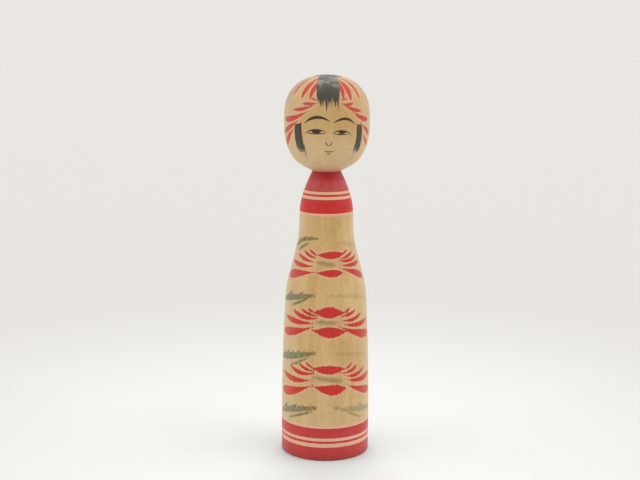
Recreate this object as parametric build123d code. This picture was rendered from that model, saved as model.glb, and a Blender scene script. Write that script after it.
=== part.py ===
"""Kokeshi doll, eight-sun size, turned in two pieces of wood: a body and a head.

Millimetres. Z is the lathe axis, z = 0 is the plane the doll stands on, and the
painted face looks along -Y. Each piece is one turned outline, spun about Z.
"""
import os

from build123d import *

# Driving sizes
TOTAL_HEIGHT = 240.0
NECK_HEIGHT = 180.5
FOOT_RADIUS = 28.0
NECK_RADIUS = 8.9

# The head's tenon is a turning fit in the body's socket.
TENON_RADIUS = 6.0
TENON_LENGTH = 20.0
TENON_CHAMFER = 1.5
SOCKET_CLEARANCE = 0.05
SOCKET_RADIUS = TENON_RADIUS + SOCKET_CLEARANCE
SOCKET_DEPTH = TENON_LENGTH + 2.0
SOCKET_MOUTH_CHAMFER = 0.6

# Underside: the doll stands on a ring around a shallow dish.
FOOT_ROUND = 1.2
DISH_RADIUS = 20.0
DISH_DEPTH = 0.8

# Marks that the lathe's chuck leaves in the dish: a centre point and four claws.
CENTRE_MARK_RADIUS = 1.5
CENTRE_MARK_DEPTH = 1.5
CLAW_COUNT = 4
CLAW_RING_RADIUS = 10.0
CLAW_LENGTH = 5.0
CLAW_WIDTH = 1.2
CLAW_DEPTH = 1.5

# Side of the body as (radius, height), from the foot up to the neck.
BODY_SIDE = [
    (FOOT_RADIUS, FOOT_ROUND),
    (27.9, 34.0),
    (27.1, 70.0),
    (25.8, 98.0),
    (24.9, 108.0),  # hip, where the side rolls in
    (22.5, 118.0),
    (19.4, 130.0),
    (17.15, 143.0),  # waist
    (16.8, 156.0),  # chest
    (14.9, 166.0),
    (11.9, 174.0),
    (NECK_RADIUS, NECK_HEIGHT),
]
BODY_END_DIRECTIONS = [(0, 1), (-0.5, 1)]

# Side of the head as (radius, height), from the neck up to the crown.
HEAD_SIDE = [
    (NECK_RADIUS, NECK_HEIGHT),
    (18.6, 186.2),
    (23.7, 193.6),  # jaw
    (26.2, 201.9),
    (26.7, 210.7),  # widest line, at the temples
    (26.3, 220.1),
    (23.1, 229.2),
    (17.0, 235.5),
    (8.7, 239.0),
    (0.0, TOTAL_HEIGHT),
]
HEAD_END_DIRECTIONS = [(1, 0.55), (-1, 0)]

# Both ends of a side leave at the pace of the points between them, so it stays fair.
END_PACE = (1, 1)


def body_outline():
    """Half section of the body, in the XZ plane."""
    with BuildLine(Plane.XZ) as outline:
        side = Spline(*BODY_SIDE, tangents=BODY_END_DIRECTIONS, tangent_scalars=END_PACE)
        foot = JernArc(side @ 0, (0, -1), FOOT_ROUND, -90)
        Polyline(
            foot @ 1,
            (DISH_RADIUS, 0),
            (CENTRE_MARK_RADIUS, DISH_DEPTH),
            (0, DISH_DEPTH + CENTRE_MARK_DEPTH),
            (0, NECK_HEIGHT - SOCKET_DEPTH),
            (SOCKET_RADIUS, NECK_HEIGHT - SOCKET_DEPTH),
            (SOCKET_RADIUS, NECK_HEIGHT - SOCKET_MOUTH_CHAMFER),
            (SOCKET_RADIUS + SOCKET_MOUTH_CHAMFER, NECK_HEIGHT),
            side @ 1,
        )
    return outline.line


def head_outline():
    """Half section of the head and its tenon, in the XZ plane."""
    with BuildLine(Plane.XZ) as outline:
        side = Spline(*HEAD_SIDE, tangents=HEAD_END_DIRECTIONS, tangent_scalars=END_PACE)
        Polyline(
            side @ 1,
            (0, NECK_HEIGHT - TENON_LENGTH),
            (TENON_RADIUS - TENON_CHAMFER, NECK_HEIGHT - TENON_LENGTH),
            (TENON_RADIUS, NECK_HEIGHT - TENON_LENGTH + TENON_CHAMFER),
            (TENON_RADIUS, NECK_HEIGHT),
            side @ 0,
        )
    return outline.line


def turned(outline):
    """The solid that a half section spins into."""
    with BuildPart() as piece:
        with BuildSketch(Plane.XZ):
            add(outline)
            make_face()
        revolve(axis=Axis.Z)
    return piece.part


def claw_marks():
    """Short radial cuts around the centre of the dish."""
    with BuildPart() as marks:
        with BuildSketch():
            with PolarLocations(CLAW_RING_RADIUS, CLAW_COUNT, start_angle=45):
                Rectangle(CLAW_LENGTH, CLAW_WIDTH)
        extrude(amount=DISH_DEPTH + CLAW_DEPTH)
    return marks.part


def body():
    return turned(body_outline()) - claw_marks()


def head():
    return turned(head_outline())


os.makedirs("parts", exist_ok=True)
for name, make in (("body", body), ("head", head)):
    piece = make()
    piece.label = name
    export_step(piece, f"parts/{name}.step")
    box = piece.bounding_box()
    print(name, "volume", round(piece.volume), "mm3, z from", round(box.min.Z, 3), "to", round(box.max.Z, 3))
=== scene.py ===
import math

import bpy
from mathutils import Matrix, Vector

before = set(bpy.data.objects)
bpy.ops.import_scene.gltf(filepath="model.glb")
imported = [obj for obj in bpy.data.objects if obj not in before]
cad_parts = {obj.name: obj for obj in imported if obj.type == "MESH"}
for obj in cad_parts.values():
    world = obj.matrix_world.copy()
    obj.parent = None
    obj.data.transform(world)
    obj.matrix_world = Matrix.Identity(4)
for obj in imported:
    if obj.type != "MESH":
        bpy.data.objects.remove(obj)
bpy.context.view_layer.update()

MM = 0.001

# Colours, linear.
WOOD_PALE = (0.66, 0.455, 0.21)
WOOD_HONEY = (0.52, 0.315, 0.11)
# Paler wood: faded low on the body and at the jaw, and a painted sheen on the sides.
WOOD_FADED_AND_SHEEN = (0.66, 0.49, 0.295)
WOOD_PORE = (0.26, 0.14, 0.05)
PEACH_STAIN = (0.80, 0.42, 0.29)
RED_DYE = (0.51, 0.008, 0.010)
RED_THIN = (0.58, 0.02, 0.02)
RED_EDGE = (0.34, 0.045, 0.022)
LEAF_GREEN = (0.11, 0.155, 0.09)
LEAF_BROWN = (0.16, 0.12, 0.04)
OLIVE_DYE = (0.22, 0.17, 0.055)
# The foot's red, darker towards the bottom.
FOOT_DARK_RED = (0.20, 0.03, 0.025)
# Painted shade on the neck's red, just under the head.
NECK_SHADE_RED = (0.36, 0.008, 0.02)
# Red paled by wear near the foot, and by a painted sheen low on the neck's dome.
WEAR_AND_SHEEN_RED = (0.42, 0.085, 0.085)
OLD_RED = (0.42, 0.12, 0.065)
HANDLED = (0.30, 0.20, 0.13)
BLACK_INK = (0.022, 0.019, 0.017)
BROWN_INK = (0.04, 0.020, 0.006)
FACE_INK = (0.028, 0.019, 0.012)
LIP_INK = (0.15, 0.075, 0.022)
# Grey for a painted sheen on the hair.
PAINTED_SHEEN_GREY = (0.34, 0.31, 0.275)
# Pale for a painted highlight in each eye.
EYE_HIGHLIGHT_PALE = (0.66, 0.50, 0.36)


# ---------------------------------------------------------------- node helpers

class Graph:
    """Adds nodes to one node tree. A value is a socket to link or a plain default."""

    COLUMNS = 24
    STEP = (190, -170)

    def __init__(self, tree):
        self.tree = tree

    def add(self, kind, **settings):
        node = self.tree.nodes.new(kind)
        place = len(self.tree.nodes)
        node.location = (
            (place % self.COLUMNS) * self.STEP[0],
            (place // self.COLUMNS) * self.STEP[1],
        )
        for name, value in settings.items():
            setattr(node, name, value)
        return node

    def feed(self, socket, value):
        if isinstance(value, bpy.types.NodeSocket):
            self.tree.links.new(value, socket)
        else:
            socket.default_value = value

    def math(self, operation, *values):
        node = self.add("ShaderNodeMath", operation=operation)
        for socket, value in zip(node.inputs, values):
            self.feed(socket, value)
        return node.outputs[0]

    def vector(self, operation, *values):
        node = self.add("ShaderNodeVectorMath", operation=operation)
        for socket, value in zip(node.inputs, values):
            self.feed(socket, value)
        return node.outputs["Value" if operation in ("DOT_PRODUCT", "LENGTH") else "Vector"]

    def scaled(self, vector, by):
        """A vector times a number. It takes a number straight in, with no hidden conversion."""
        node = self.add("ShaderNodeVectorMath", operation="SCALE")
        self.feed(node.inputs["Vector"], vector)
        self.feed(node.inputs["Scale"], by)
        return node.outputs["Vector"]

    def combine(self, x, y, z=0.0):
        node = self.add("ShaderNodeCombineXYZ")
        for socket, value in zip(node.inputs, (x, y, z)):
            self.feed(socket, value)
        return node.outputs[0]

    def noise(self, point, stretch, detail=2.0, roughness=0.55, seed=0.0):
        """Noise from 0 to 1. stretch is how many features there are per mm along X, Y, Z."""
        place = self.vector("MULTIPLY_ADD", point, stretch, (seed, seed * 0.7, seed * 1.3))
        node = self.add("ShaderNodeTexNoise")
        self.feed(node.inputs["Vector"], place)
        node.inputs["Scale"].default_value = 1.0
        node.inputs["Detail"].default_value = detail
        node.inputs["Roughness"].default_value = roughness
        return node.outputs["Fac"]

    def ramp(self, value, start, end, low=0.0, high=1.0):
        """Smooth step of value from start to end, giving low to high."""
        node = self.add("ShaderNodeMapRange", interpolation_type="SMOOTHSTEP")
        for socket, number in zip(node.inputs, (value, start, end, low, high)):
            self.feed(socket, number)
        return node.outputs[0]

    def surface(self):
        """A Principled shader that is the material's surface."""
        shader = self.add("ShaderNodeBsdfPrincipled")
        output = self.add("ShaderNodeOutputMaterial")
        self.tree.links.new(shader.outputs[0], output.inputs["Surface"])
        return shader

    def mix(self, share, below, above):
        """Lays one colour over another. share is how much of the upper one shows."""
        node = self.add("ShaderNodeMix", data_type="RGBA")
        self.feed(node.inputs["Factor"], share)
        for name, colour in (("A", below), ("B", above)):
            socket = next(s for s in node.inputs if s.name == name and s.type == "RGBA")
            self.feed(socket, colour if isinstance(colour, bpy.types.NodeSocket) else (*colour, 1.0))
        return next(s for s in node.outputs if s.type == "RGBA")


# ---------------------------------------------------------------- brush strokes

# How a stroke swells: (taper at the root, taper at the tip). Small is blunt, large is fine.
PETAL = (1.2, 0.7)
BROAD_PETAL = (1.5, 0.55)
LENS = (1.15, 1.05)
LATE_LENS = (1.6, 1.0)
DIAMOND = (2.6, 2.6)
OVAL = (0.5, 0.5)
LEAF = (0.45, 0.4)
TOOTH = (0.2, 1.2)
LINE = (0.45, 0.6)
BROW = (0.75, 0.95)
BAR = (0.06, 0.08)
HAIR = (0.15, 0.8)
FRINGE = (0.35, 0.06)


def brush_group():
    """Node group: how far inside one curved, swelling stroke a point is, in mm."""
    tree = bpy.data.node_groups.new("Brush_stroke", "ShaderNodeTree")
    for name, kind in (
        ("Point", "NodeSocketVector"),
        ("Root", "NodeSocketVector"),
        ("Along", "NodeSocketVector"),
        ("Across", "NodeSocketVector"),
        ("Bow", "NodeSocketVector"),
        ("Length", "NodeSocketFloat"),
        ("Width", "NodeSocketFloat"),
        ("Root taper", "NodeSocketFloat"),
        ("Tip taper", "NodeSocketFloat"),
    ):
        tree.interface.new_socket(name=name, in_out="INPUT", socket_type=kind)
    tree.interface.new_socket(name="Inside", in_out="OUTPUT", socket_type="NodeSocketFloat")
    g = Graph(tree)
    given = g.add("NodeGroupInput").outputs
    from_root = g.vector("SUBTRACT", given["Point"], given["Root"])
    done = g.vector("DOT_PRODUCT", from_root, given["Along"])
    left = g.math("SUBTRACT", 1.0, done)
    arch = g.math("MULTIPLY", done, left)
    unbowed = g.vector("ADD", from_root, g.scaled(given["Bow"], arch))
    aside = g.math("ABSOLUTE", g.vector("DOT_PRODUCT", unbowed, given["Across"]))
    swell = g.math(
        "MULTIPLY",
        g.math("POWER", g.math("MAXIMUM", done, 0.0), given["Root taper"]),
        g.math("POWER", g.math("MAXIMUM", left, 0.0), given["Tip taper"]),
    )
    overrun = g.math("MINIMUM", g.math("MINIMUM", done, left), 0.0)
    past_end = g.math("MULTIPLY", overrun, given["Length"])
    inside = g.math("SUBTRACT", g.math("MULTIPLY", swell, given["Width"]), aside)
    result = g.add("NodeGroupOutput")
    g.feed(result.inputs["Inside"], g.math("ADD", inside, past_end))
    return tree


BRUSH = brush_group()


def stroke(root, middle, tip, half_width, shape=PETAL):
    """One stroke, from its root through its middle to its tip."""
    return Vector(root), Vector(middle), Vector(tip), half_width, shape


def straight(root, tip, half_width, shape=PETAL):
    return stroke(root, (Vector(root) + Vector(tip)) / 2, tip, half_width, shape)


def paint(g, point, strokes):
    """How far inside the nearest of the strokes a point is, in mm. Outside is below zero."""
    inside = None
    for root, middle, tip, half_width, (root_taper, tip_taper) in strokes:
        way = tip - root
        bow = middle - (root + tip) / 2
        widest = root_taper / (root_taper + tip_taper)
        peak = widest**root_taper * (1 - widest) ** tip_taper
        node = g.add("ShaderNodeGroup", node_tree=BRUSH)
        values = {
            "Point": point,
            "Root": (*root, 0.0),
            "Along": (*(way / way.length_squared), 0.0),
            "Across": (-way.y / way.length, way.x / way.length, 0.0),
            "Bow": (*(-4 * bow), 0.0),
            "Length": way.length,
            "Width": half_width / peak,
            "Root taper": root_taper,
            "Tip taper": tip_taper,
        }
        for name, value in values.items():
            g.feed(node.inputs[name], value)
        inside = node.outputs[0] if inside is None else g.math("MAXIMUM", inside, node.outputs[0])
    return inside


# ---------------------------------------------------------------- the painter's design

# Body: points are (distance round the wood from the middle of the front, height), in mm.
# Each flower is a lens above, a lens below, and petals fanning out to the left and right.
TOP_FLOWER = [
    stroke((-7.4, 130.1), (1.6, 129.9), (10.9, 130.7), 2.25, LENS),
    stroke((-9.2, 119.4), (1.6, 119.0), (9.4, 119.2), 2.3, LATE_LENS),
    stroke((-7.4, 119.6), (-20.4, 118.0), (-33.6, 115.0), 2.6, BROAD_PETAL),
    stroke((-8.8, 123.2), (-18.0, 123.0), (-29.4, 124.6), 1.45),
    stroke((-8.2, 125.5), (-15.2, 126.8), (-22.2, 129.4), 1.05),
    stroke((-7.2, 128.0), (-12.4, 129.4), (-16.6, 132.2), 0.95),
    stroke((-7.4, 129.2), (-9.9, 131.3), (-12.4, 132.8), 0.8),
    stroke((6.2, 122.3), (17.2, 119.0), (29.4, 114.5), 2.1, BROAD_PETAL),
    stroke((8.0, 123.8), (15.6, 123.2), (25.2, 124.4), 1.35),
    stroke((5.4, 127.1), (14.0, 126.1), (21.8, 128.6), 1.15),
    stroke((6.4, 127.6), (11.8, 128.4), (17.6, 131.4), 1.0),
    stroke((8.0, 129.8), (10.4, 131.0), (12.6, 132.9), 0.7),
]
MIDDLE_FLOWER = [
    stroke((-12.8, 94.8), (1.0, 95.1), (13.4, 94.3), 3.6, DIAMOND),
    stroke((-13.4, 84.3), (1.6, 82.6), (15.0, 83.2), 3.6, DIAMOND),
    stroke((-8.4, 86.6), (-21.6, 82.1), (-37.4, 79.5), 2.7, BROAD_PETAL),
    stroke((-8.6, 88.4), (-21.2, 88.0), (-34.4, 89.8), 1.8),
    stroke((-5.8, 91.8), (-15.8, 91.5), (-25.2, 95.1), 1.5),
    stroke((-6.2, 92.9), (-12.6, 93.9), (-17.6, 96.3), 1.1),
    stroke((-8.0, 94.7), (-10.9, 95.9), (-13.6, 97.3), 0.9),
    stroke((5.2, 87.0), (18.8, 81.2), (34.8, 77.9), 2.75, BROAD_PETAL),
    stroke((8.6, 87.5), (19.4, 86.0), (32.4, 87.8), 1.75),
    stroke((7.4, 90.3), (16.0, 89.7), (24.0, 92.7), 1.25),
    stroke((6.4, 92.6), (12.0, 92.9), (18.6, 95.7), 1.0),
    stroke((8.0, 94.5), (11.2, 95.4), (14.2, 97.5), 0.65),
]
BOTTOM_FLOWER = [
    stroke((-11.0, 59.8), (0.6, 58.9), (10.4, 59.5), 2.85, LENS),
    stroke((-11.4, 48.9), (1.0, 46.1), (11.6, 46.8), 3.4, LATE_LENS),
    stroke((-9.4, 49.5), (-22.2, 44.2), (-38.6, 41.2), 3.05, BROAD_PETAL),
    stroke((-10.4, 52.5), (-22.8, 50.9), (-37.4, 53.8), 2.0),
    stroke((-7.0, 57.5), (-16.8, 55.8), (-28.2, 59.6), 1.45),
    stroke((-7.8, 58.0), (-14.2, 58.8), (-19.8, 61.8), 1.05),
    stroke((-8.8, 59.2), (-12.0, 61.0), (-15.0, 63.2), 0.85),
    stroke((10.8, 49.4), (22.4, 44.4), (36.8, 41.0), 2.65, BROAD_PETAL),
    stroke((10.6, 52.4), (22.4, 50.6), (36.2, 52.8), 1.85),
    stroke((9.2, 55.2), (18.0, 54.1), (27.8, 58.0), 1.3),
    stroke((7.0, 56.7), (13.6, 57.1), (20.3, 60.5), 1.05),
    stroke((7.6, 58.7), (11.9, 59.5), (15.8, 62.9), 0.75),
]
FLOWERS = TOP_FLOWER + MIDDLE_FLOWER + BOTTOM_FLOWER
FLOWER_CENTRES = [
    stroke((-7.4, 125.5), (-1.5, 124.7), (4.6, 123.6), 1.3, OVAL),
    stroke((-9.0, 89.3), (-2.0, 88.9), (5.4, 88.3), 1.35, OVAL),
    stroke((-10.2, 54.2), (-1.0, 52.9), (9.2, 51.5), 1.5, OVAL),
]

# Leaves in pairs: a blade with a few teeth and a stalk, and a thin streak below it.
LEFT_LEAVES = [
    stroke((-6.0, 139.7), (-16.5, 138.8), (-27.8, 132.9), 1.4, LEAF),
    straight((-12.6, 138.4), (-10.0, 141.6), 1.0, TOOTH),
    straight((-17.6, 138.0), (-14.6, 141.4), 1.1, TOOTH),
    straight((-22.4, 136.2), (-19.4, 139.8), 1.1, TOOTH),
    stroke((-12.6, 137.0), (-17.8, 134.3), (-22.8, 131.6), 0.9, LEAF),
    stroke((-9.4, 105.6), (-21.5, 103.5), (-39.8, 99.3), 1.9, LEAF),
    straight((-20.6, 103.0), (-16.2, 108.0), 1.9, TOOTH),
    straight((-30.0, 101.0), (-26.6, 107.2), 2.7, TOOTH),
    straight((-9.0, 103.6), (-9.2, 107.6), 0.45, LINE),
    stroke((-12.4, 104.4), (-18.6, 101.0), (-27.4, 97.6), 0.95, LEAF),
    stroke((-9.4, 69.5), (-23.5, 66.1), (-41.0, 62.2), 2.1, LEAF),
    straight((-8.2, 69.5), (-10.6, 69.2), 1.35, OVAL),
    straight((-18.6, 66.6), (-15.2, 70.8), 1.3, TOOTH),
    straight((-23.0, 66.0), (-19.0, 70.8), 1.5, TOOTH),
    straight((-28.0, 65.0), (-23.8, 69.8), 1.5, TOOTH),
    straight((-33.0, 63.8), (-28.4, 69.8), 1.8, TOOTH),
    straight((-38.4, 62.4), (-33.8, 67.4), 1.5, TOOTH),
    stroke((-12.8, 66.8), (-20.0, 62.6), (-27.6, 59.6), 0.9, LEAF),
    stroke((-8.0, 34.3), (-23.0, 31.7), (-40.0, 27.2), 2.05, LEAF),
    straight((-7.4, 34.3), (-12.0, 34.1), 1.35, OVAL),
    straight((-20.6, 32.2), (-16.4, 35.4), 1.1, TOOTH),
    straight((-26.4, 31.0), (-21.0, 35.6), 1.5, TOOTH),
    straight((-35.0, 29.0), (-30.0, 34.8), 1.8, TOOTH),
    straight((-11.6, 31.4), (-11.9, 37.8), 0.42, LINE),
    stroke((-10.2, 32.0), (-18.8, 28.8), (-28.8, 25.2), 0.85, LEAF),
]
RIGHT_LEAVES = [
    stroke((5.8, 137.3), (12.6, 136.8), (23.0, 133.8), 1.3, LEAF),
    stroke((11.0, 135.6), (16.8, 134.0), (22.0, 131.6), 0.7, LEAF),
    straight((0.6, 105.3), (4.2, 105.5), 0.9, OVAL),
    stroke((2.0, 105.2), (13.0, 104.7), (30.0, 101.0), 1.2, LEAF),
    stroke((2.4, 69.1), (13.5, 68.2), (30.0, 65.4), 1.3, LEAF),
    straight((3.2, 34.6), (7.6, 34.2), 1.35, OVAL),
    stroke((7.0, 33.3), (20.0, 32.0), (38.0, 28.8), 1.9, LEAF),
    straight((17.6, 31.8), (12.8, 35.5), 1.3, TOOTH),
    straight((26.6, 31.0), (21.2, 35.6), 1.5, TOOTH),
    stroke((10.8, 32.0), (16.2, 29.2), (23.6, 25.8), 0.85, LEAF),
]

# Lathe-turned bands of the body, as (from height, to height), in mm.
RED_BANDS = [(-1.0, 8.8), (11.3, 12.8), (14.7, 21.2), (155.4, 163.9), (165.7, 167.0), (168.6, 182.0)]

# Only the outside is painted. The underside, inside the foot's rim, and the socket are bare.
FOOT_RIM_RADIUS = 26.9
FOOT_RIM_HEIGHT = 6.0
SOCKET_RIM_RADIUS = 7.5

# Head: on the face, points are (distance round the wood, height); on the crown they are
# (distance to the side of the crown, distance forward of it), both measured over the wood.
HEAD_CENTRE_HEIGHT = 208.0
CROWN_REACH = 31.9

CROWN_STROKES = [
    stroke((-5.5, 2.2), (-15.2, 2.2), (-25.0, 3.2), 1.2),
    stroke((-5.5, 5.4), (-15.6, 8.6), (-25.4, 13.2), 1.25),
    stroke((-4.4, 9.2), (-13.7, 16.5), (-20.6, 21.8), 1.9),
    stroke((-4.6, 12.0), (-10.5, 20.6), (-14.8, 26.0), 1.6),
    stroke((5.6, 2.4), (15.6, 3.0), (25.2, 5.6), 1.2),
    stroke((4.6, 7.6), (15.2, 14.0), (22.7, 20.6), 1.35),
    stroke((3.6, 10.6), (10.9, 18.6), (15.9, 26.6), 1.95),
    stroke((4.6, 13.6), (8.0, 21.8), (9.8, 28.4), 1.5),
]
BACK_STROKE_ANGLES = (104, 124, 144, 168, 194, 216, 236, 256)
BACK_STROKE_ROOT = 8.0
BACK_STROKE_TIP = 27.0
BACK_STROKE_HALF_WIDTH = 1.3

TEMPLE_STROKES = [
    stroke((-7.6, 224.9), (-9.8, 226.0), (-12.0, 226.6), 0.55),
    stroke((-7.6, 223.9), (-13.0, 223.3), (-17.8, 223.4), 0.9),
    stroke((-9.2, 223.2), (-17.6, 220.2), (-25.6, 219.5), 1.05),
    stroke((-12.6, 219.8), (-23.2, 214.9), (-36.4, 213.0), 1.85, BROAD_PETAL),
    stroke((-19.6, 214.0), (-28.0, 209.2), (-37.6, 205.0), 1.75, BROAD_PETAL),
    stroke((-24.4, 208.6), (-30.2, 203.0), (-36.0, 197.2), 2.15, BROAD_PETAL),
    stroke((5.8, 225.4), (8.2, 226.0), (10.8, 226.4), 0.55),
    stroke((6.0, 224.1), (10.6, 222.8), (15.4, 223.9), 0.95),
    stroke((7.6, 223.6), (15.2, 219.8), (22.0, 219.0), 1.15),
    stroke((13.2, 219.6), (20.2, 215.4), (29.6, 213.2), 1.6, BROAD_PETAL),
    stroke((21.4, 211.2), (26.6, 207.9), (32.6, 204.0), 1.55, BROAD_PETAL),
    stroke((23.0, 205.2), (26.9, 201.2), (31.4, 197.0), 1.3, BROAD_PETAL),
]

# Hair. The bangs end in spikes, this far forward of the crown and this uneven, and a
# painted sheen pales them, most around one place.
CROWN_CAP = straight((-8.4, 0.0), (9.8, 0.0), 9.2, OVAL)
BANGS = stroke((0.3, 2.0), (-0.9, 18.0), (-1.5, 34.0), 8.1, FRINGE)
BANGS_END = 31.0
BANGS_FRAY = 24.0
SHEEN_MIDDLE = 14.0
LOOSE_HAIRS = [
    straight((-7.2, 26.0), (-7.6, 34.0), 0.8, HAIR),
    straight((-4.9, 26.0), (-5.0, 33.8), 0.7, HAIR),
    straight((-2.8, 26.0), (-3.1, 38.6), 1.1, HAIR),
    straight((0.3, 26.0), (0.7, 35.2), 0.8, HAIR),
    straight((3.2, 26.0), (3.8, 35.0), 0.8, HAIR),
    straight((5.6, 26.0), (6.3, 36.0), 0.9, HAIR),
]
SIDE_LOCKS = [
    stroke((-21.4, 211.2), (-20.9, 203.0), (-18.1, 193.8), 3.15, BAR),
    straight((-19.6, 198.0), (-19.4, 191.0), 0.8, HAIR),
    straight((-18.0, 198.0), (-17.0, 191.6), 0.9, HAIR),
    straight((-17.0, 199.0), (-14.2, 188.6), 0.55, HAIR),
    straight((-19.6, 207.0), (-19.4, 212.2), 0.6, HAIR),
    stroke((20.0, 210.8), (20.1, 203.0), (18.0, 194.0), 2.7, BAR),
    straight((18.9, 198.0), (18.4, 191.6), 0.8, HAIR),
    straight((17.6, 198.0), (16.6, 191.8), 0.7, HAIR),
    straight((16.9, 199.0), (14.8, 189.6), 0.5, HAIR),
    straight((21.8, 206.0), (21.9, 212.4), 0.6, HAIR),
]
LOCK_MIDDLE = 203.0

# Face.
BROWS = [
    stroke((-16.5, 211.5), (-8.2, 215.4), (0.5, 212.4), 1.0, BROW),
    stroke((1.6, 211.8), (8.6, 214.6), (17.3, 209.9), 0.85, BROW),
]
EYE_LINES = [
    stroke((-15.9, 205.4), (-9.0, 207.95), (-1.9, 206.0), 0.5, LINE),
    stroke((-14.2, 205.7), (-8.6, 205.5), (-2.4, 205.9), 0.36, LINE),
    stroke((1.1, 205.8), (7.4, 207.35), (14.2, 203.8), 0.47, LINE),
    stroke((2.0, 205.5), (6.6, 205.1), (11.4, 205.1), 0.34, LINE),
]
PUPILS = [
    straight((-11.4, 206.7), (-5.6, 206.7), 0.95, OVAL),
    straight((5.0, 206.2), (9.6, 206.3), 0.9, OVAL),
]
# Painted highlight: a pale patch between the lids of each eye.
EYE_HIGHLIGHTS = [
    straight((-13.2, 206.3), (-4.0, 206.5), 0.5, LENS),
    straight((3.4, 206.1), (11.6, 205.9), 0.5, LENS),
]
NOSE = [
    stroke((-2.6, 200.8), (-2.1, 199.2), (-0.7, 198.1), 0.37, LINE),
    stroke((1.0, 200.6), (0.4, 198.9), (-0.9, 198.1), 0.37, LINE),
]
MOUTH = [
    stroke((-3.3, 194.9), (-0.5, 194.5), (2.9, 194.8), 0.36, LINE),
    stroke((-2.0, 193.9), (-0.6, 193.0), (0.8, 193.9), 0.34, LINE),
]


def back_strokes():
    """Strokes that fan out behind the crown, like the ones at its sides."""
    strokes = []
    for degrees in BACK_STROKE_ANGLES:
        outward = Vector((math.sin(math.radians(degrees)), math.cos(math.radians(degrees))))
        root = outward * BACK_STROKE_ROOT
        tip = outward * BACK_STROKE_TIP
        strokes.append(straight(root, tip, BACK_STROKE_HALF_WIDTH))
    return strokes


# ---------------------------------------------------------------- wood and wax

def wood_place(g):
    """A point in the wood in mm, its turn from the front, radius, distance round and height."""
    point = g.scaled(g.add("ShaderNodeTexCoord").outputs["Object"], 1 / MM)
    split = g.add("ShaderNodeSeparateXYZ")
    g.feed(split.inputs[0], point)
    x, y, height = split.outputs
    radius = g.math("SQRT", g.math("ADD", g.math("MULTIPLY", x, x), g.math("MULTIPLY", y, y)))
    turn = g.math("ARCTAN2", x, g.math("MULTIPLY", y, -1.0))
    around = g.math("MULTIPLY", turn, radius)
    return point, turn, radius, around, height


def bare_wood(g, point, turn, fade, seed):
    """Colour of the oiled, sun-aged wood, with its fibres running up the doll, and a painted sheen
    that makes it paler away from the front.
    """
    fibre = g.noise(point, (1.9, 1.9, 0.05), detail=3.0, seed=seed)
    streak = g.noise(point, (0.22, 0.22, 0.012), detail=2.0, seed=seed + 3)
    cloud = g.noise(point, (0.05, 0.05, 0.03), detail=2.0, seed=seed + 7)
    pores = g.noise(point, (2.6, 2.6, 0.9), detail=2.0, seed=seed + 11)
    flecks = g.noise(point, (0.25, 0.25, 1.5), detail=3.0, seed=seed + 13)
    waves = g.noise(point, (0.07, 0.07, 0.5), detail=2.0, seed=seed + 19)
    ripple = g.math("ABSOLUTE", g.math("SUBTRACT", waves, 0.5))
    broad_tone = g.math("MULTIPLY_ADD", streak, 0.6, g.math("MULTIPLY", cloud, 0.6))
    tone = g.math("MULTIPLY_ADD", fibre, 0.8, broad_tone)
    colour = g.mix(g.ramp(tone, 0.7, 1.3), WOOD_PALE, WOOD_HONEY)
    # Painted sheen: the wood pales and greys away from the front.
    side_sheen = g.ramp(g.math("COSINE", turn), 0.95, 0.3, 0.0, 0.55)
    colour = g.mix(g.math("MAXIMUM", side_sheen, fade), colour, WOOD_FADED_AND_SHEEN)
    colour = g.mix(g.ramp(flecks, 0.55, 0.75, 0.0, 0.22), colour, WOOD_PORE)
    rippled = g.math("MULTIPLY", g.ramp(ripple, 0.014, 0.0, 0.0, 0.35), g.ramp(cloud, 0.42, 0.56))
    colour = g.mix(rippled, colour, WOOD_PORE)
    return g.mix(g.ramp(pores, 0.58, 0.8, 0.0, 0.4), colour, WOOD_PORE), fibre


def finish_wood(g, colour, fibre, point, seed):
    """Waxed surface: satin, a little uneven, with fibre and turning marks in its relief."""
    shader = g.surface()
    g.feed(shader.inputs["Base Color"], colour)
    rub = g.noise(point, (0.11, 0.11, 0.08), detail=3.0, seed=seed + 17)
    roughness = g.math("MULTIPLY_ADD", fibre, 0.10, g.math("MULTIPLY_ADD", rub, 0.18, 0.30))
    g.feed(shader.inputs["Roughness"], roughness)
    turning = g.noise(point, (0.02, 0.02, 2.4), detail=1.0, seed=seed + 23)
    relief = g.math("MULTIPLY_ADD", turning, 0.5, fibre)
    bump = g.add("ShaderNodeBump")
    bump.inputs["Strength"].default_value = 0.25
    bump.inputs["Distance"].default_value = 0.03 * MM
    g.feed(bump.inputs["Height"], relief)
    g.feed(shader.inputs["Normal"], bump.outputs[0])
    shader.inputs["Specular IOR Level"].default_value = 0.32
    shader.inputs["Sheen Weight"].default_value = 0.17
    shader.inputs["Sheen Roughness"].default_value = 0.4


def new_material(name):
    material = bpy.data.materials.new(name)
    material.use_nodes = True
    material.node_tree.nodes.clear()
    return material, Graph(material.node_tree)


def dye(g, colour, inside, fibre, strength, edge):
    """Red dye where inside is above zero, uneven along the fibres and browner at its edge."""
    tint = g.mix(g.ramp(fibre, 0.3, 0.7), RED_THIN, RED_DYE)
    tint = g.mix(g.ramp(inside, 0.9, 0.0, 0.0, 0.55), tint, RED_EDGE)
    return g.mix(g.ramp(inside, -edge, edge, 0.0, strength), colour, tint)


# ---------------------------------------------------------------- body

BODY_SEED = 2.0

# Changes up the body: from one height to another, in mm, then the amounts at the two.
FOOT_FADING = (70.0, 15.0, 0.0, 0.4)
DYE_WETNESS = (98.0, 108.0, 4.4, 1.4)
LEAF_GREENING = (134.0, 110.0, 0.4, 1.0)
RIGHT_LEAF_STRENGTH = (60.0, 38.0, 0.22, 0.5)
LEFT_LEAF_STRENGTH = 0.9
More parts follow.
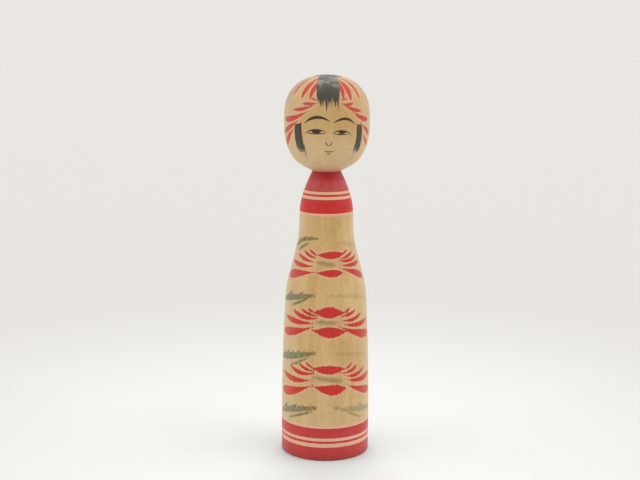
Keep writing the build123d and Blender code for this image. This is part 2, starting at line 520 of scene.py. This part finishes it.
# Painted sheen low on the neck's dome, in the red there.
NECK_SHEEN_FROM_BELOW = (166.5, 169.0, 0.0, 0.8)
NECK_SHEEN_FROM_ABOVE = (177.5, 173.0, 0.1, 0.8)
FOOT_WEAR = (26.0, 16.0, 0.0, 0.4)
# Painted shade: the neck's red darkens just under the head.
NECK_SHADE = (173.0, 178.0, 0.0, 0.7)
# The foot's red darkens towards the bottom.
FOOT_DARKENING = (8.0, 0.0, 0.0, 0.35)


def band_depth(g, height):
    """How far inside the nearest red band a height is, in mm."""
    depth = None
    for low, high in RED_BANDS:
        off_middle = g.math("ABSOLUTE", g.math("SUBTRACT", height, (low + high) / 2))
        inside = g.math("SUBTRACT", (high - low) / 2, off_middle)
        depth = inside if depth is None else g.math("MAXIMUM", depth, inside)
    return depth


def outside_depth(g, radius, height):
    """How far outside the bare rims of the underside and the socket a point is, in mm."""
    off_underside = g.math(
        "MAXIMUM",
        g.math("SUBTRACT", radius, FOOT_RIM_RADIUS),
        g.math("SUBTRACT", height, FOOT_RIM_HEIGHT),
    )
    return g.math("MINIMUM", off_underside, g.math("SUBTRACT", radius, SOCKET_RIM_RADIUS))


def leaves(g, colour, point, spot, around, height, spread, strokes, strength):
    """Lays one side's leaves over colour, brown at the stalk and green at the tip."""
    leaf = g.math("MULTIPLY_ADD", spread, 0.5, paint(g, spot, strokes))
    brushed = g.noise(point, (0.5, 0.5, 0.35), detail=3.0, seed=41.0)
    cover = g.math("MULTIPLY", g.ramp(leaf, -0.5, 0.6), g.ramp(brushed, 0.3, 0.6, 0.65, 1.0))
    toward_tip = g.ramp(g.math("ABSOLUTE", around), 12.0, 25.0)
    green = g.math("MULTIPLY", toward_tip, g.ramp(height, *LEAF_GREENING))
    tint = g.mix(green, LEAF_BROWN, LEAF_GREEN)
    return g.mix(g.math("MULTIPLY", cover, strength), colour, tint)


def flowers(g, colour, spot, turn, spread, fibre):
    """Red flowers with an olive centre, a little fainter round the sides."""
    centres = g.math("ADD", paint(g, spot, FLOWER_CENTRES), spread)
    colour = g.mix(g.ramp(centres, -1.2, 1.3, 0.0, 0.7), colour, OLIVE_DYE)
    red = paint(g, spot, FLOWERS)
    colour = g.mix(g.ramp(red, -2.2, 0.2, 0.0, 0.45), colour, PEACH_STAIN)
    strength = g.ramp(g.math("ABSOLUTE", turn), 0.6, 1.3, 0.98, 0.86)
    return dye(g, colour, g.math("ADD", red, spread), fibre, strength, 0.22)


def turned_bands(g, colour, point, radius, height, spread, fibre):
    """Bands laid on while the doll turned, with wear near the foot, a painted sheen low on the
    neck's dome, painted shade just under the head, and the foot's red darker towards the bottom.
    """
    painted = g.math("MINIMUM", band_depth(g, height), outside_depth(g, radius, height))
    bands = g.math("MULTIPLY_ADD", spread, 0.4, painted)
    colour = g.mix(g.ramp(bands, -2.4, 0.0), colour, PEACH_STAIN)
    colour = dye(g, colour, bands, fibre, 0.99, 0.14)
    # Painted sheen low on the neck's dome, and wear near the foot.
    neck_sheen = g.math(
        "MINIMUM",
        g.ramp(height, *NECK_SHEEN_FROM_BELOW),
        g.ramp(height, *NECK_SHEEN_FROM_ABOVE),
    )
    wear_and_sheen = g.math("MAXIMUM", neck_sheen, g.ramp(height, *FOOT_WEAR))
    rubbing = g.noise(point, (0.35, 0.35, 0.03), detail=4.0, seed=51.0)
    wear_and_sheen = g.math("MULTIPLY", wear_and_sheen, g.ramp(rubbing, 0.33, 0.66, 0.4, 1.0))
    on_red = g.ramp(bands, 0.0, 0.3)
    for amount, tint in (
        # Wear near the foot and painted sheen low on the neck.
        (wear_and_sheen, WEAR_AND_SHEEN_RED),
        # Painted shade just under the head.
        (g.ramp(height, *NECK_SHADE), NECK_SHADE_RED),
        # The foot's red darker towards the bottom.
        (g.ramp(height, *FOOT_DARKENING), FOOT_DARK_RED),
    ):
        colour = g.mix(g.math("MULTIPLY", on_red, amount), colour, tint)
    return colour


def body_material():
    material, g = new_material("Painted_body_wood")
    point, turn, radius, around, height = wood_place(g)
    colour, fibre = bare_wood(g, point, turn, g.ramp(height, *FOOT_FADING), BODY_SEED)
    spot = g.combine(around, height)

    # Dye wicks up and down the grain, most of all in the two lower flowers.
    wick = g.noise(point, (1.1, 1.1, 0.04), detail=3.0, roughness=0.7, seed=31.0)
    off_dry = g.math("MAXIMUM", g.math("SUBTRACT", wick, 0.52), -0.04)
    spread = g.math("MULTIPLY", off_dry, g.ramp(height, *DYE_WETNESS))

    # The right side's leaves have faded, all but the lowest.
    for strokes, strength in (
        (LEFT_LEAVES, LEFT_LEAF_STRENGTH),
        (RIGHT_LEAVES, g.ramp(height, *RIGHT_LEAF_STRENGTH)),
    ):
        colour = leaves(g, colour, point, spot, around, height, spread, strokes, strength)
    colour = flowers(g, colour, spot, turn, spread, fibre)
    colour = turned_bands(g, colour, point, radius, height, spread, fibre)
    finish_wood(g, colour, fibre, point, BODY_SEED)
    return material


# ---------------------------------------------------------------- head

HEAD_SEED = 60.0

# Changes over the head: from one distance or height to another, in mm, then the amounts.
JAW_FADING = (210.0, 197.0, 0.0, 0.6)
# Painted shade on the front of the brow.
BROW_SHADE = (202.0, 212.0, 0.0, 0.35)
DULL_TO_THE_SIDE = (9.0, 22.0)
DULL_FROM_THE_TOP = (42.0, 26.0)
DULL_FORWARD = (16.0, 2.0, 0.0, 0.42)
OLD_ROOTS = (21.0, 13.0, 0.0, 0.75)
# Painted reflection of the neck's red on the underside of the head.
NECK_RED_REFLECTION = (184.0, 180.7, 0.0, 0.4)
BROWN_FRINGE = (28.0, 36.0)
LOCK_FADING = (191.0, 197.0, 0.4, 1.0)
LOCK_FRAY = (4.5, 9.0, 0.9, 9.0)


def crown_place(g, turn, radius, height):
    """Distances over the wood from the very top: in all, to the side and forward, in mm."""
    drop = g.math("SUBTRACT", height, HEAD_CENTRE_HEIGHT)
    reach = g.math("MULTIPLY", g.math("ARCTAN2", radius, drop), CROWN_REACH)
    sideways = g.math("MULTIPLY", reach, g.math("SINE", turn))
    forward = g.math("MULTIPLY", reach, g.math("COSINE", turn))
    return reach, sideways, forward


def dull_crown(g, reach, sideways, forward):
    """How dull handling has left a point. Only the two sides of the crown are."""
    at_sides = g.math(
        "MULTIPLY",
        g.ramp(g.math("ABSOLUTE", sideways), *DULL_TO_THE_SIDE),
        g.ramp(reach, *DULL_FROM_THE_TOP),
    )
    return g.math("MULTIPLY", at_sides, g.ramp(g.math("ABSOLUTE", forward), *DULL_FORWARD))


def head_strokes(g, colour, point, spot, crown_spot, reach, fibre):
    """Red strokes round the crown and at the temples, oldest and brownest near the top."""
    wick = g.noise(point, (1.3, 1.3, 0.07), detail=2.0, seed=71.0)
    spread = g.math("MULTIPLY", g.math("SUBTRACT", wick, 0.5), 0.8)
    red = g.math(
        "MAXIMUM",
        paint(g, crown_spot, CROWN_STROKES + back_strokes()),
        paint(g, spot, TEMPLE_STROKES),
    )
    bled = g.math("ADD", red, spread)
    colour = g.mix(g.ramp(red, -2.2, 0.3, 0.0, 0.5), colour, PEACH_STAIN)
    colour = dye(g, colour, bled, fibre, 0.9, 0.3)
    old = g.math("MULTIPLY", g.ramp(bled, -0.3, 0.4), g.ramp(reach, *OLD_ROOTS))
    return g.mix(old, colour, OLD_RED)


def hair(g, colour, crown_spot, forward):
    """Cap and bangs: dry-brushed, so streaks of wood show where the brush was running out."""
    streaks = g.noise(crown_spot, (1.6, 0.10, 1.0), detail=3.0, seed=81.0)
    spiky = g.noise(crown_spot, (1.25, 0.03, 1.0), detail=0.5, seed=83.0)
    spikes = g.math("SUBTRACT", spiky, 0.5)
    bangs_end = g.math("MULTIPLY_ADD", spikes, BANGS_FRAY, BANGS_END)
    fringe = g.math("MINIMUM", paint(g, crown_spot, [BANGS]), g.math("SUBTRACT", bangs_end, forward))
    depth = g.math("MAXIMUM", fringe, paint(g, crown_spot, [CROWN_CAP] + LOOSE_HAIRS))
    ragged = g.math("MULTIPLY_ADD", g.math("SUBTRACT", streaks, 0.5), 0.9, depth)
    # Painted sheen: the ink is greyed a little all over, and more around one place on the bangs.
    hair_sheen = g.math(
        "MULTIPLY",
        g.ramp(g.math("ABSOLUTE", g.math("SUBTRACT", forward, SHEEN_MIDDLE)), 12.0, 2.0),
        g.ramp(g.noise(crown_spot, (0.22, 0.22, 1.0), detail=3.0, seed=85.0), 0.38, 0.62),
    )
    ink = g.mix(g.math("MULTIPLY_ADD", hair_sheen, 0.55, 0.1), BLACK_INK, PAINTED_SHEEN_GREY)
    ink = g.mix(g.ramp(forward, *BROWN_FRINGE), ink, BROWN_INK)
    return g.mix(g.ramp(ragged, -0.3, 0.35, 0.0, 0.98), colour, ink)


def side_locks(g, colour, spot, height):
    """Locks in front of the ears, frayed at both ends and thin at the lower one."""
    streaks = g.noise(spot, (1.8, 0.08, 1.0), detail=3.0, seed=91.0)
    from_middle = g.math("ABSOLUTE", g.math("SUBTRACT", height, LOCK_MIDDLE))
    thinning = g.math("MINIMUM", g.math("SUBTRACT", streaks, 0.5), 0.04)
    fray = g.math("MULTIPLY", thinning, g.ramp(from_middle, *LOCK_FRAY))
    depth = g.math("ADD", fray, paint(g, spot, SIDE_LOCKS))
    cover = g.math("MULTIPLY", g.ramp(depth, -0.3, 0.5), g.ramp(streaks, 0.3, 0.65, 0.86, 0.95))
    cover = g.math("MULTIPLY", cover, g.ramp(height, *LOCK_FADING))
    return g.mix(cover, colour, BLACK_INK)


def face(g, colour, spot):
    """Eyes, brows, nose and mouth, in fine brush lines."""
    # Painted highlight between the lids.
    eye_highlights = g.ramp(paint(g, spot, EYE_HIGHLIGHTS), -0.1, 0.5, 0.0, 0.4)
    colour = g.mix(eye_highlights, colour, EYE_HIGHLIGHT_PALE)
    for strokes, tint, strength in (
        (BROWS, BROWN_INK, 0.97),
        (EYE_LINES, FACE_INK, 0.95),
        (PUPILS, FACE_INK, 0.97),
        (NOSE, BROWN_INK, 0.85),
        (MOUTH, LIP_INK, 0.95),
    ):
        line = g.ramp(paint(g, spot, strokes), -0.1, 0.12, 0.0, strength)
        colour = g.mix(line, colour, tint)
    return colour


def head_material():
    material, g = new_material("Painted_head_wood")
    point, turn, radius, around, height = wood_place(g)
    colour, fibre = bare_wood(g, point, turn, g.ramp(height, *JAW_FADING), HEAD_SEED)
    spot = g.combine(around, height)
    reach, sideways, forward = crown_place(g, turn, radius, height)
    crown_spot = g.combine(sideways, forward)

    # Painted shade: the front of the brow is darker, in the honey tone of the wood.
    on_front = g.ramp(g.math("COSINE", turn), 0.6, 0.95)
    colour = g.mix(g.math("MULTIPLY", g.ramp(height, *BROW_SHADE), on_front), colour, WOOD_HONEY)

    # Handling dulls the wood, and a little less the red that lies on it.
    dull = dull_crown(g, reach, sideways, forward)
    colour = g.mix(dull, colour, HANDLED)
    colour = head_strokes(g, colour, point, spot, crown_spot, reach, fibre)
    colour = g.mix(g.math("MULTIPLY", dull, 0.6), colour, HANDLED)

    # Painted reflection: the neck's red tints the underside of the head, but not its tenon.
    red_reflection = g.math("MULTIPLY", g.ramp(height, *NECK_RED_REFLECTION), g.ramp(radius, 7.0, 8.0))
    colour = g.mix(red_reflection, colour, RED_THIN)

    colour = hair(g, colour, crown_spot, forward)
    colour = side_locks(g, colour, spot, height)
    colour = face(g, colour, spot)
    finish_wood(g, colour, fibre, point, HEAD_SEED)
    return material


# ---------------------------------------------------------------- studio

# Camera: turned about the doll, looking down a little. Degrees, and mm.
CAMERA_AZIMUTH = -4.2
CAMERA_DISTANCE = 747.8
CAMERA_HEIGHT = 265.3
CAMERA_ASIDE = -3.9
CAMERA_PITCH = 9.79
CAMERA_ROLL = 0.32
LENS_MM = 67.5
SENSOR_MM = 36.0

# Floor and world, linear. The floor is painted a little blue around the foot, against the red
# light the base throws on it, and painted lighter near the doll, a painted pool of light; it
# fades to the tone of the world far off.
FLOOR_BLUE_AGAINST_RED_LIGHT = (0.765, 0.85, 0.865)
FLOOR_PAINTED_LIGHT_NEAR = (0.82, 0.845, 0.86)
FLOOR_FAR = (0.666, 0.66, 0.649)
WORLD_TONE = (0.82, 0.80, 0.76)
FLOOR_RADIUS_M = 12.0
FLOOR_GAP_M = 0.0001

# Far lights: name, azimuth, elevation, spread (all in degrees) and strength.
LIGHTS = [
    ("Key", 52, 62, 12, 0.12),
    ("Right side", 80, 35, 40, 0.55),
    ("Left side", -84, 30, 45, 0.45),
    ("Back", 176, 62, 30, 0.6),
]


def add_floor():
    """A round, pale floor that meets the pale world without a line."""
    bpy.ops.mesh.primitive_circle_add(vertices=128, radius=FLOOR_RADIUS_M, fill_type="NGON")
    floor = bpy.context.object
    floor.name = "Floor"
    floor.location.z = -FLOOR_GAP_M
    material, g = new_material("Pale_floor")
    shader = g.surface()
    place = g.add("ShaderNodeTexCoord").outputs["Object"]
    away = g.vector("LENGTH", place)
    # Painted light: the floor is lighter near the doll.
    tone = g.mix(g.ramp(away, 0.02, 0.45), FLOOR_PAINTED_LIGHT_NEAR, FLOOR_FAR)
    # Painted blue at the foot, against the red light the base throws there.
    tone = g.mix(g.ramp(away, 0.075, 0.03), tone, FLOOR_BLUE_AGAINST_RED_LIGHT)
    g.feed(shader.inputs["Base Color"], tone)
    shader.inputs["Roughness"].default_value = 0.75
    floor.data.materials.append(material)


def add_light(name, azimuth, elevation, spread, strength):
    """Soft far light, even over the whole floor. Azimuth 0 is in front, 90 is the right."""
    lamp = bpy.data.lights.new(name, "SUN")
    lamp.angle = math.radians(spread)
    lamp.energy = strength
    holder = bpy.data.objects.new(name, lamp)
    bpy.context.scene.collection.objects.link(holder)
    flat = math.cos(math.radians(elevation))
    toward = Vector((
        flat * math.sin(math.radians(azimuth)),
        -flat * math.cos(math.radians(azimuth)),
        math.sin(math.radians(elevation)),
    ))
    holder.location = toward
    holder.rotation_euler = toward.to_track_quat("Z", "Y").to_euler()


def add_world():
    world = bpy.data.worlds.new("Studio")
    world.use_nodes = True
    background = world.node_tree.nodes["Background"]
    background.inputs["Color"].default_value = (*WORLD_TONE, 1.0)
    background.inputs["Strength"].default_value = 1.0
    bpy.context.scene.world = world


def add_camera():
    data = bpy.data.cameras.new("Camera")
    data.sensor_width = SENSOR_MM
    data.lens = LENS_MM
    camera = bpy.data.objects.new("Camera", data)
    bpy.context.scene.collection.objects.link(camera)
    place = Vector((CAMERA_ASIDE, -CAMERA_DISTANCE, CAMERA_HEIGHT)) * MM
    camera.matrix_world = (
        Matrix.Rotation(math.radians(CAMERA_AZIMUTH), 4, "Z")
        @ Matrix.Translation(place)
        @ Matrix.Rotation(math.radians(90 - CAMERA_PITCH), 4, "X")
        @ Matrix.Rotation(math.radians(CAMERA_ROLL), 4, "Z")
    )
    bpy.context.scene.camera = camera


def dress(node, material):
    """Gives a CAD node its material."""
    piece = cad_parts[node]
    piece.data.materials.clear()
    piece.data.materials.append(material)


def main():
    dress("body", body_material())
    dress("head", head_material())
    add_floor()
    add_world()
    for light in LIGHTS:
        add_light(*light)
    add_camera()
    bpy.context.scene.view_settings.view_transform = "Standard"


main()
